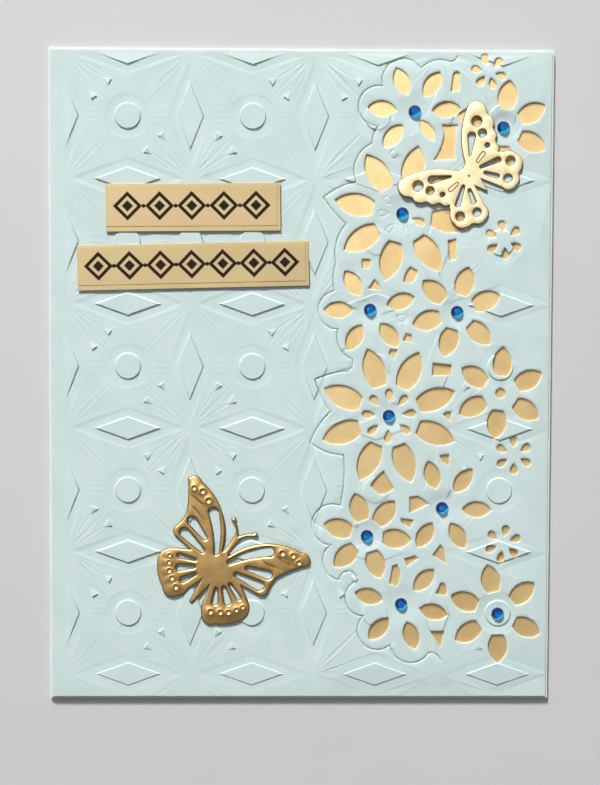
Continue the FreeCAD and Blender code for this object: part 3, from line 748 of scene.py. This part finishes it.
def gold_strip(name, length, width, place, diamonds):
    """Mat and label of one strip, with the stamped row along the middle of the label."""
    x, y, turn = place
    left, low, right, high = mat_borders
    label_place = (*turned([((left - right) / 2, (low - high) / 2)], x, y, turn)[0], turn)
    mat = slab(f"{name}_mat_film", length, width, place, relief_top, mat_stock, 0.07)
    label = slab(f"{name}_label_film", length - left - right, width - low - high, label_place,
                 relief_top + mat_stock, label_stock, 0.035)
    pitch = (length - left - right - 2.2) / diamonds
    spots = []
    for k in range(diamonds):
        along = (k - (diamonds - 1) / 2) * pitch
        spots.append(stamp(label_place, along, 4, 3.1, 0.74, ring=0.7))
        spots.append(stamp(label_place, along, 4, 1.2, 0.74))
        if k:
            spots.append(stamp(label_place, along - pitch / 2, 20, 0.42, 1.0))
    label.data.materials.append(strip_film)
    label.data.materials.append(stamped_ink)
    for spot in spots:
        spot.data.materials.append(stamped_ink)
    mat.data.materials.append(strip_film)
    join(label, spots)
    for piece, node in ((mat, f"{name}_mat"), (label, f"{name}_label")):
        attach(piece, "root")
        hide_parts(node)


strip_film = new_surface("strip_film", strip_gold, 0.6, 0.4)
strip_patches = add_noise(strip_film, 4.0, 2.0, (4, 1, 1))
feed(strip_film, between(strip_film, strip_patches, 0.3, 0.7, strip_gold, strip_gold_deep), "Base Color")
film_lines = add_noise(strip_film, 0.16, 3.0, (22, 0.8, 1))
feed(strip_film, add_bump(strip_film, film_lines, 0.02, 0.6), "Normal")
stamped_ink = new_surface("stamped_ink", ink_black, 0.9, specular=0.1)
patchy(stamped_ink, 0.4, 3.0, 0.3, 0.8, ink_black, ink_thin)
gold_strip("upper_strip", 37.2, 10.2, (31.0, 105.9, 0.6), 5)
gold_strip("lower_strip", 49.4, 9.6, (31.0, 93.45, 1.5), 7)


# ------------------------------------ Lower butterfly
# Die-cut from heavy card with a deep gold foil. The die rolls the foil over the rims of the wings and slots,
# and presses small dots along the edges of the wings. It is glued down flat.

bronze = (0.42, 0.275, 0.11, 1)
bronze_deep = (0.34, 0.215, 0.08, 1)
brown_core = (0.11, 0.06, 0.025, 1)
brown_core_light = (0.16, 0.10, 0.05, 1)
cut_slope = 0.13
cut_foot = 0.05


def wing_line(half):
    """Closed outline of both sides from the left side of one that is drawn with the head towards +X."""
    other = [(u, -v, half[k - 1][2]) for k, (u, v, bow) in enumerate(half) if v]
    return along_bows(half + other[::-1])


def slot(start_x, start_y, start_width, end_x, end_y, end_width):
    """Slot with round ends that widens from its start to its end."""
    length = math.hypot(end_x - start_x, end_y - start_y)
    out_x, out_y = (end_y - start_y) / length / 2, (start_x - end_x) / length / 2
    return along_bows([
        (start_x + out_x * start_width, start_y + out_y * start_width, 0),
        (end_x + out_x * end_width, end_y + out_y * end_width, 0.5),
        (end_x - out_x * end_width, end_y - out_y * end_width, 0),
        (start_x - out_x * start_width, start_y - out_y * start_width, 0.5),
    ])


def both_sides(shapes):
    """The shapes and their mirror images across the X axis, all wound the same way."""
    lines = [np.array(shape, float) for shape in shapes]
    lines += [line[::-1] * (1, -1) for line in lines]
    return [line if area_of(line) > 0 else line[::-1] for line in lines]


def foil_shape(name, outline, holes, thickness, rim, drop, dots=(), pressed=(), grooves=()):
    """Closed mesh of a die-cut shape with slanted edges, rolled rims, pressed dots, lines and grooves."""
    outline = np.array(outline if area_of(outline) > 0 else outline[::-1], float)
    insets = [cut_slope + (rim - cut_slope) * share for share in (0, 0.3, 0.65, 1.0)]
    rules = [(beside(line, inset * side), True)
             for lines, side in (([outline], -1), (holes, 1)) for line in lines for inset in insets]
    rules += [(round_line(u, v, radius * share, 24), True)
              for u, v, radius in dots for share in (0.3, 0.6, 0.85, 1.0, 1.15, 1.35)]
    for start_u, start_v, end_u, end_v, width in pressed:
        run = np.array([(start_u, start_v), (end_u, end_v)], float)
        rules += [(beside(run, offset * width, False), False)
                  for offset in (-1.4, -0.9, -0.4, 0, 0.4, 0.9, 1.4)]
    rules += [(beside(line, offset), True) for line in grooves for offset in (-0.1, 0, 0.1)]
    flat, triangles = triangulated(outline, holes, rules)
    inwards = (1 - rolled(flat, [outline, *holes], rim)) * rim
    slant = np.clip(inwards / cut_slope, 0, 1)
    curl = np.clip((rim - inwards) / (rim - cut_slope), 0, 1)
    top = cut_foot + (thickness - drop - cut_foot) * slant + drop * (1 - curl ** 2)
    for u, v, radius in dots:
        away = away_from(flat, u, v) / radius
        top -= 0.5 * radius * smooth(1 - away)
        top += 0.12 * radius * smooth(1 - np.abs(away - 1.1) / 0.25)
    for start_u, start_v, end_u, end_v, width in pressed:
        away = distance_to(flat, (start_u, start_v), (end_u, end_v)) / width
        top += 0.05 * smooth(1 - np.abs(away - 1.15) / 0.25) - 0.3 * smooth(1 - away)
    if grooves:
        top -= 0.24 * rolled(flat, grooves, 0.1)
    return two_faced(name, np.column_stack([flat, top]), np.column_stack([flat, 0 * top]), triangles)


def edge_faces(piece, slot_number):
    """Gives the upright faces of a piece their own material slot."""
    for face in piece.data.polygons:
        if abs(face.normal.z) < 0.5:
            face.material_index = slot_number


def set_down(piece, place, height):
    """Turns a piece that lies with its head towards +X and moves it to its place on the card."""
    x, y, turn = place
    piece.rotation_euler = (0, 0, math.radians(turn))
    piece.location = on_card(x, y, height)
    settle(piece)


lower_half = [
    (8.8, 0.0, 0.05), (11.15, 2.25, 1.3), (10.55, 2.78, -0.12), (8.6, 0.75, 0),
    (4.7, 0.55, 0), (4.1, 0.8, 0.148), (13.9, 13.2, 0.3), (12.6, 16.1, -0.03), (6.5, 12.1, -0.06),
    (2.8, 12.3, 0.25), (0.9, 10.8, 0), (0.6, 6.6, 0.02), (-1.6, 10.2, 0.22), (-5.8, 11.0, 0.08),
    (-9.6, 7.0, 0.3), (-9.4, 3.2, 0.12), (-6.7, 2.0, 0), (-2.9, 1.0, 0), (-5.6, 0.85, 0), (-8.7, 0.45, 0.3),
]
lower_slots = [
    along_bows([(3.3, 1.35, 0.05), (10.85, 6.8, 0.32), (9.45, 8.4, -0.045), (2.7, 2.0, 0.3)]),
    slot(4.3, 5.6, 0.8, 5.7, 10.0, 1.9),
    slot(1.8, 4.5, 0.9, 2.7, 9.9, 2.0),
    slot(-0.7, 4.6, 0.5, -2.0, 7.9, 0.9),
    slot(-2.1, 4.0, 0.7, -4.1, 6.4, 1.4),
    slot(-3.2, 2.8, 0.5, -5.8, 4.2, 1.2),
]
lower_dots = [(11.8, 13.9, 0.5), (12.3, 12.0, 0.55), (11.4, 9.8, 0.6), (-3.1, 9.7, 0.4), (-4.4, 8.9, 0.44),
              (-5.8, 7.8, 0.5), (-6.8, 6.4, 0.52), (-7.9, 4.6, 0.55)]
lower_dots += [(u, -v, radius) for u, v, radius in lower_dots]
lower_lines = [(7.5, 8.2, 8.3, 11.2, 0.26), (10.0, 10.4, 10.3, 12.7, 0.24)]
lower_lines += [(u, -v, end_u, -end_v, width) for u, v, end_u, end_v, width in lower_lines]

lower_butterfly = foil_shape("lower_butterfly_foil", wing_line(lower_half), both_sides(lower_slots),
                             0.45, 0.42, 0.16, dots=lower_dots, pressed=lower_lines)
set_down(lower_butterfly, (35.6, 28.2, 54.4), relief_top)
smoothed(lower_butterfly, 42)

bronze_foil = new_surface("bronze_foil", bronze, 0.44, 0.85)
patchy(bronze_foil, 3.0, 4.0, 0.35, 0.68, bronze, bronze_deep)
scratches = add_bump(bronze_foil, add_noise(bronze_foil, 0.25, 4.0, (5, 0.6, 1), 0.9), 0.02, 0.5)
feed(bronze_foil, add_bump(bronze_foil, add_noise(bronze_foil, 2.2, 2.0), 0.045, 0.6, scratches), "Normal")
core_board = new_surface("core_board", brown_core, 0.8)
patchy(core_board, 0.3, 3.0, 0.3, 0.7, brown_core, brown_core_light)
lower_butterfly.data.materials.append(bronze_foil)
lower_butterfly.data.materials.append(core_board)
edge_faces(lower_butterfly, 1)
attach(lower_butterfly, "root")
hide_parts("lower_butterfly")


# ------------------------------------ Upper butterfly
# Die-cut from heavy card with a pale gold foil, pierced with round holes and slots. Only its body is glued,
# and the wings are bent up from it, so their brown cut edges show.

pale_gold = (0.70, 0.585, 0.35, 1)
pale_gold_deep = (0.65, 0.54, 0.31, 1)
wing_lift = 1.5

upper_half = [
    (2.3, 0.0, 0), (2.7, 1.1, 0.09), (10.3, 10.0, 0.25), (8.8, 13.0, 0.12), (6.9, 12.6, -0.1),
    (5.9, 12.1, 0.15), (4.4, 12.0, 0.1), (3.4, 10.9, -0.1), (2.6, 10.5, 0.2), (1.3, 9.4, -0.1),
    (0.5, 8.8, 0.2), (-0.9, 7.8, 0), (-1.8, 8.6, 0.15), (-4.4, 10.1, 0.2), (-6.7, 9.0, 0.12),
    (-7.2, 7.6, -0.1), (-7.9, 6.9, 0.15), (-8.7, 4.9, 0.25), (-6.6, 2.6, 0), (-2.0, 1.0, 0),
    (-4.7, 0.25, 0.4),
]
upper_holes = [
    round_line(6.8, 9.3, 1.05, 28),
    round_line(4.2, 8.3, 0.8, 24),
    round_line(1.7, 7.1, 0.45, 18),
    slot(3.0, 3.1, 0.3, 5.5, 6.3, 1.5),
    slot(-0.4, 2.8, 0.5, -2.1, 6.4, 1.1),
    slot(-1.9, 2.5, 0.5, -4.3, 3.7, 0.9),
    round_line(-4.2, 8.0, 0.9, 24),
    round_line(-6.3, 4.9, 0.85, 24),
]
loops = both_sides([slot(1.0, 3.2, 0.6, 1.2, 5.2, 0.9)]) + [np.array(round_line(0.25, 0.35, 0.16, 10))]
upper_butterfly = foil_shape("upper_butterfly_foil", wing_line(upper_half), both_sides(upper_holes),
                             0.5, 0.34, 0.14, grooves=loops)
edit(upper_butterfly, "VERT")
bpy.ops.mesh.select_all(action="SELECT")
bpy.ops.mesh.bisect(plane_co=(0, 0, 0), plane_no=(0, 1, 0))
for side in (-1, 1):
    bpy.ops.mesh.select_all(action="DESELECT")
    bpy.ops.object.mode_set(mode="OBJECT")
    for corner in upper_butterfly.data.vertices:
        corner.select = corner.co.y * side > 0.001 * mm
    bpy.ops.object.mode_set(mode="EDIT")
    bpy.ops.transform.rotate(value=-side * math.radians(wing_lift), orient_axis="X",
                             center_override=(0, 0, 0))
bpy.ops.object.mode_set(mode="OBJECT")
set_down(upper_butterfly, (wings_x, wings_y, 138.0), relief_top)
smoothed(upper_butterfly, 42)

pale_foil = new_surface("pale_foil", pale_gold, 0.5, 0.5)
patchy(pale_foil, 3.5, 3.0, 0.35, 0.68, pale_gold, pale_gold_deep)
feed(pale_foil, add_bump(pale_foil, add_noise(pale_foil, 1.8, 3.0), 0.05, 0.6), "Normal")
upper_butterfly.data.materials.append(pale_foil)
upper_butterfly.data.materials.append(core_board)
edge_faces(upper_butterfly, 1)
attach(upper_butterfly, "root")
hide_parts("upper_butterfly")


# ------------------------------------ Gems
# Ten moulded stones of deep blue acrylic with a flat mirrored back, stuck in the hearts of the large
# flowers, but for one that has a round hole there. Each stone has a low girdle, two rows of triangular
# facets and a flat table.

gem_radius = 1.375
gem_sides = 12
girdle_height = 0.25
facet_rows = ((0.5, 0.80), (0.35, 0.68))
# The navy is a painted shade, and the cyan and flash colours are painted light on the facets; the blue is
# the stone's own colour.
gem_painted_shade = (0.002, 0.014, 0.11, 1)
gem_blue = (0.003, 0.10, 0.46, 1)
gem_painted_light = (0.02, 0.50, 0.86, 1)
gem_painted_glow_colour = (0.03, 0.42, 0.72, 1)

gem_acrylic = new_surface("gem_acrylic", gem_blue, 0.2, specular=0.25)
# Painted light on the facets: a painted navy shade on those that face the card's top, a painted cyan light
# on those that face its foot, the stone's own blue on the table, with a little random tone over all.
painted_glow = gem_acrylic.node_tree.nodes.new("ShaderNodeAttribute")
painted_glow.attribute_name = "painted_glow"
tone_and_painted_glow = laid_over(gem_acrylic, add_noise(gem_acrylic, 0.7, 1.0), 0.3, painted_glow.outputs["Fac"])
inside = between(gem_acrylic, tone_and_painted_glow, 0.2, 1.1, gem_painted_shade, gem_painted_light)
middle_stop = inside.node.color_ramp.elements.new(0.65)
middle_stop.color = gem_blue
feed(gem_acrylic, inside, "Base Color")
# Facets that face the card's foot also emit a painted light, though the stone is no lamp.
feed(gem_acrylic, between(gem_acrylic, tone_and_painted_glow, 0.72, 1.2, (0, 0, 0, 1), gem_painted_glow_colour), "Emission Color")
for socket, value in (("Emission Strength", 0.6), ("Coat Weight", 0.35), ("Coat Roughness", 0.04)):
    gem_acrylic.node_tree.nodes["Principled BSDF"].inputs[socket].default_value = value

bpy.ops.mesh.primitive_cylinder_add(vertices=gem_sides, radius=gem_radius * mm, depth=girdle_height * mm,
                                    location=(0, 0, girdle_height / 2 * mm))
stone = bpy.context.object
settle(stone)
edit(stone)
for rise, shrink in facet_rows:
    bpy.ops.mesh.select_all(action="DESELECT")
    bpy.ops.object.mode_set(mode="OBJECT")
    crest = max(corner.co.z for corner in stone.data.vertices)
    for face in stone.data.polygons:
        face.select = face.normal.z > 0.9 and face.center.z > crest - 0.001 * mm
    bpy.ops.object.mode_set(mode="EDIT")
    bpy.ops.mesh.extrude_region_move(TRANSFORM_OT_translate={"value": (0, 0, rise * mm)})
    bpy.ops.transform.resize(value=(shrink, shrink, 1))
    bpy.ops.transform.rotate(value=math.pi / gem_sides, orient_axis="Z",
                             center_override=(0, 0, (crest + rise * mm)))
bpy.ops.mesh.select_all(action="SELECT")
bpy.ops.mesh.quads_convert_to_tris()
bpy.ops.mesh.normals_make_consistent(inside=False)
bpy.ops.object.mode_set(mode="OBJECT")
stone.data.materials.append(gem_acrylic)
for number, (x, y) in enumerate(hearts, start=1):
    gem = stone if number == len(hearts) else bpy.data.objects.new("gem", stone.data.copy())
    if gem is not stone:
        bpy.context.collection.objects.link(gem)
    gem.name = f"gem_{number}_stone"
    gem.rotation_euler = (0, 0, math.radians(37 * number))
    gem.location = on_card(x, y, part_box(f"gem_{number}")[0].z / mm)
    settle(gem)

    # Light that would enter a stone from the card's top, bounce off its flat back and leave through the
    # facets on the other side is painted on: each facet gets a painted light level that grows as it faces
    # the card's foot.
    painted_light_levels = []
    for face in gem.data.polygons:
        steep = 1 - face.normal.z
        towards_foot = face.normal.x * 0.5 - face.normal.y
        painted_light_levels.append(0.55 if steep < 0.05 else max(0.0, 0.12 + 1.1 * towards_foot))
    gem.data.attributes.new("painted_glow", "FLOAT", "FACE").data.foreach_set("value", painted_light_levels)
    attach(gem, "root")
    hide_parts(f"gem_{number}")


# ------------------------------------ Stage
# A pale floor, soft studio light from the top of the card, and a camera that looks down on it.

floor_colour = (0.60, 0.595, 0.585, 1)
floor_light = (0.62, 0.615, 0.605, 1)
bpy.ops.mesh.primitive_plane_add(size=3.0, location=(0, 0, 0))
floor = bpy.context.object
floor.name = "floor"
floor_paint = new_surface("floor_paint", floor_colour, 0.8)
patchy(floor_paint, 30.0, 3.0, 0.3, 0.7, floor_colour, floor_light)
floor.data.materials.append(floor_paint)


def soft_light(name, place, size, power):
    """Square soft light that faces the card."""
    lamp = bpy.data.lights.new(name, "AREA")
    lamp.size = size
    lamp.energy = power
    light = bpy.data.objects.new(name, lamp)
    light.location = place
    light.rotation_euler = (-Vector(place)).to_track_quat("-Z", "Y").to_euler()
    bpy.context.collection.objects.link(light)
    return light


soft_light("key_light", (-0.65, 2.2, 1.59), 0.4, 98.0)

# A second light from the same side only shows as a shine, in foil and stones.
sheen_light = soft_light("sheen_light", (-0.72, 1.23, 1.70), 0.4, 135.0)
sheen_light.visible_diffuse = False

# The studio is dim for matt surfaces, and foil and stones mirror a wall that is brightest beyond the top.
world = bpy.data.worlds.new("studio")
world.use_nodes = True
bpy.context.scene.world = world
studio = world.node_tree
directions = studio.nodes.new("ShaderNodeTexCoord")
slant = studio.nodes.new("ShaderNodeVectorMath")
slant.operation = "DOT_PRODUCT"
slant.inputs[1].default_value = (-0.45, 1, 0)
wall = studio.nodes.new("ShaderNodeMapRange")
wall.inputs["From Min"].default_value = -0.3
wall.inputs["From Max"].default_value = 0.34
wall_colour = studio.nodes.new("ShaderNodeValToRGB")
wall_colour.color_ramp.elements[0].color = (0.20, 0.15, 0.10, 1)
wall_colour.color_ramp.elements[1].color = (0.42, 0.42, 0.42, 1)
rays = studio.nodes.new("ShaderNodeLightPath")
mirrored = studio.nodes.new("ShaderNodeMath")
mirrored.operation = "MAXIMUM"
mirror = studio.nodes.new("ShaderNodeBackground")
mirror.inputs["Strength"].default_value = 0.8
room = studio.nodes["Background"]
room.inputs["Color"].default_value = (0.93, 0.97, 1.0, 1)
room.inputs["Strength"].default_value = 0.23
choice = studio.nodes.new("ShaderNodeMixShader")
for output, socket in (
    (directions.outputs["Generated"], slant.inputs[0]),
    (slant.outputs["Value"], wall.inputs["Value"]),
    (wall.outputs["Result"], wall_colour.inputs["Fac"]),
    (wall_colour.outputs["Color"], mirror.inputs["Color"]),
    (rays.outputs["Is Glossy Ray"], mirrored.inputs[0]),
    (rays.outputs["Is Transmission Ray"], mirrored.inputs[1]),
    (mirrored.outputs["Value"], choice.inputs[0]),
    (room.outputs["Background"], choice.inputs[1]),
    (mirror.outputs["Background"], choice.inputs[2]),
    (choice.outputs["Shader"], studio.nodes["World Output"].inputs["Surface"]),
):
    studio.links.new(output, socket)

camera = bpy.data.cameras.new("camera")
camera.lens = 74.43
camera.sensor_width = 36.0
camera.clip_start = 0.01
viewer = bpy.data.objects.new("camera", camera)
viewer.location = (-0.00606, 0.01343, 0.350)
viewer.rotation_euler = (-0.0485, -0.017, 0.0038)
bpy.context.collection.objects.link(viewer)
bpy.context.scene.camera = viewer
bpy.context.scene.view_settings.view_transform = "Standard"
